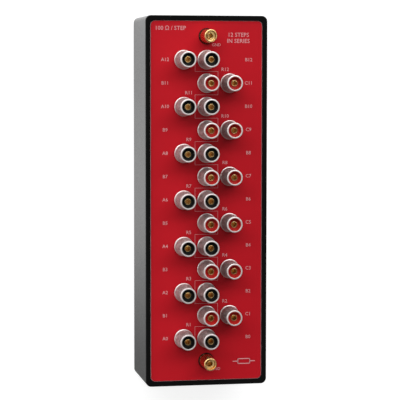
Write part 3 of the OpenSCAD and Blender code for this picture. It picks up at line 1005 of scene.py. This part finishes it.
ground_low, ground_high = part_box("ground_studs")
ground_places = [Vector((*foot_of(n).xy, panel_z)) for n in GROUND_KNOBS]
above, below = (ground_high.z - panel_z) / MM, (panel_z - ground_low.z) / MM
ground_stud = stud(GROUND_BASE_R, GROUND_BASE_T, above, below, GROUND_SOCKET_DEPTH)
joined("ground_studs_gilt", ground_stud, ground_places, gilt, ["ground_studs"])
print("ground studs of", len(ground_stud.faces), "faces")

# %% Black rings of painted shade round the ground posts
# Each ring is black plastic round a ground post's collar, a painted shade of its foot.
SHADE_RING_R = 6.6
SHADE_RING_H = 1.1
SHADE_RING_SLOPE = 0.1
SHADE_RING_PLAY = 0.08
SHADE_RING_LIFT = 0.02

shade_ring_bore_r = GROUND_BASE_R + SHADE_RING_PLAY
shade_ring_points = [
    (shade_ring_bore_r, SHADE_RING_LIFT, 0), (SHADE_RING_R, SHADE_RING_LIFT, 0),
    (SHADE_RING_R - SHADE_RING_SLOPE, SHADE_RING_H, 0.25), (shade_ring_bore_r, SHADE_RING_H, 0.1),
]
ground_shade_ring = spin_round(outline(shade_ring_points), ROUND_STEPS)
remember_axis(ground_shade_ring)
# The rings carry the painted shade round the ground posts' feet.
joined("ground_shade_rings", ground_shade_ring, ground_places, black_plastic, [])
print("rings of", len(ground_shade_ring.faces), "faces")

# %% [markdown]
# ## Marks on the panel
#
# The marks are engraved through the red face and filled with white. Seen from above they are
# flat white shapes, so each is a very thin solid that stands a few hundredths of a
# millimetre proud. Cutting them out of the panel would give it thousands of faces for a depth
# that nobody sees. The circuit's line is made of plain strips, and the numbers are text that
# becomes a mesh before it is placed.

# %% White filling, strips and words
MARK_T = 0.04 * MM
LINE_W = 0.22 * MM
CURVE_STEPS = 2

white_fill = moulded("white_fill", (0.58, 0.30, 0.32), (0.5, 0.7), gloss=0.3, dusty=0.1)
marks = bmesh.new()


def strip(x0, y0, x1, y1, width=LINE_W):
    """A straight engraved line between two points of the panel, in metres."""
    span = Matrix.Diagonal((abs(x1 - x0) + width, abs(y1 - y0) + width, MARK_T, 1))
    place = Matrix.Translation(((x0 + x1) / 2, (y0 + y1) / 2, panel_z + MARK_T / 2))
    bmesh.ops.create_cube(marks, size=1, matrix=place @ span)


def words(text, x, y, size):
    """Engraved characters, centred on a point of the panel, in metres."""
    curve = bpy.data.curves.new("words", "FONT")
    curve.body = text
    curve.size = size
    curve.align_x = "CENTER"
    curve.align_y = "CENTER"
    curve.extrude = MARK_T / 2
    curve.resolution_u = CURVE_STEPS
    letters = bpy.data.objects.new("words", curve)
    bpy.context.scene.collection.objects.link(letters)
    bpy.context.view_layer.update()
    seen = letters.evaluated_get(bpy.context.evaluated_depsgraph_get())
    flat = bpy.data.meshes.new_from_object(seen)
    flat.transform(Matrix.Translation((x, y, panel_z + MARK_T / 2)))
    marks.from_mesh(flat)
    bpy.data.meshes.remove(flat)
    bpy.data.objects.remove(letters)
    bpy.data.curves.remove(curve)


print("engraved lines", round(LINE_W / MM, 2), "mm wide")

# %% [markdown]
# The circuit runs from step to step as one line: it passes between the two posts of a step
# and crosses over to the next pair half-way between two rows. The resistors' numbers stand
# beside each crossing and the steps' numbers along both edges. All of it repeats with the rows,
# so two loops place it.

# %% Circuit line and numbers
NUMBER_SIZE = 4.0 * MM
NUMBER_LIFT = 1.6 * MM
LABEL_LEFT, LABEL_RIGHT = -34.3 * MM, 35.1 * MM
R_LEFT, R_RIGHT = -14.7 * MM, 15.4 * MM


def row_y(row):
    """Height of a row of posts on the panel."""
    return foot_of("knob_a0").y + row * pitch


for row in range(STEPS + 1):
    side = -pitch / 2 if row % 2 == 0 else pitch / 2
    start = row_y(row) - (pitch / 2 if row > 0 else 0)
    end = row_y(row) + (pitch / 2 if row < STEPS else 0)
    strip(side, start, side, end)
    left, right = "AB" if row % 2 == 0 else "BC"
    words(f"{left}{row}", LABEL_LEFT, row_y(row), NUMBER_SIZE)
    words(f"{right}{row}", LABEL_RIGHT, row_y(row), NUMBER_SIZE)
for number in range(1, STEPS + 1):
    y = row_y(number) - pitch / 2
    strip(-pitch / 2, y, pitch / 2, y)
    x = R_RIGHT if number % 2 == 0 else R_LEFT
    words(f"R{number}", x, y + NUMBER_LIFT, NUMBER_SIZE)
print("marks so far:", len(marks.faces), "faces")

# %% [markdown]
# The values and the ground marks are words with a place and a size of their own, all in
# millimetres. The resistor's sign is a box with a lead at each end.

# %% Values, ground marks and the resistor's sign
WORDS_AT = (
    ("100 Ω / STEP", -29.9, 141.5, 4.7),
    ("12 STEPS", 26.4, 136.2, 4.7),
    ("IN SERIES", 26.4, 131.2, 4.7),
    ("GND", 8.1, 128.0, 3.3),
    ("GND", 8.2, -138.7, 3.3),
)
SIGN_X, SIGN_Y = 31.7 * MM, -132.8 * MM
SIGN_HALF_W, SIGN_HALF_H, SIGN_LEAD = 5 * MM, 2 * MM, 4 * MM
SIGN_LINE = 0.7 * MM

for text, x, y, size in WORDS_AT:
    words(text, x * MM, y * MM, size * MM)
left, right = SIGN_X - SIGN_HALF_W, SIGN_X + SIGN_HALF_W
low, high = SIGN_Y - SIGN_HALF_H, SIGN_Y + SIGN_HALF_H
for y in (low, high):
    strip(left, y, right, y, SIGN_LINE)
for x, lead in ((left, -SIGN_LEAD), (right, SIGN_LEAD)):
    strip(x, low, x, high, SIGN_LINE)
    strip(x, SIGN_Y, x + lead, SIGN_Y, SIGN_LINE)
engraving = put(marks, "panel_marks", white_fill, "case_body", sharp=20)
print("marks:", len(engraving.data.polygons), "faces")
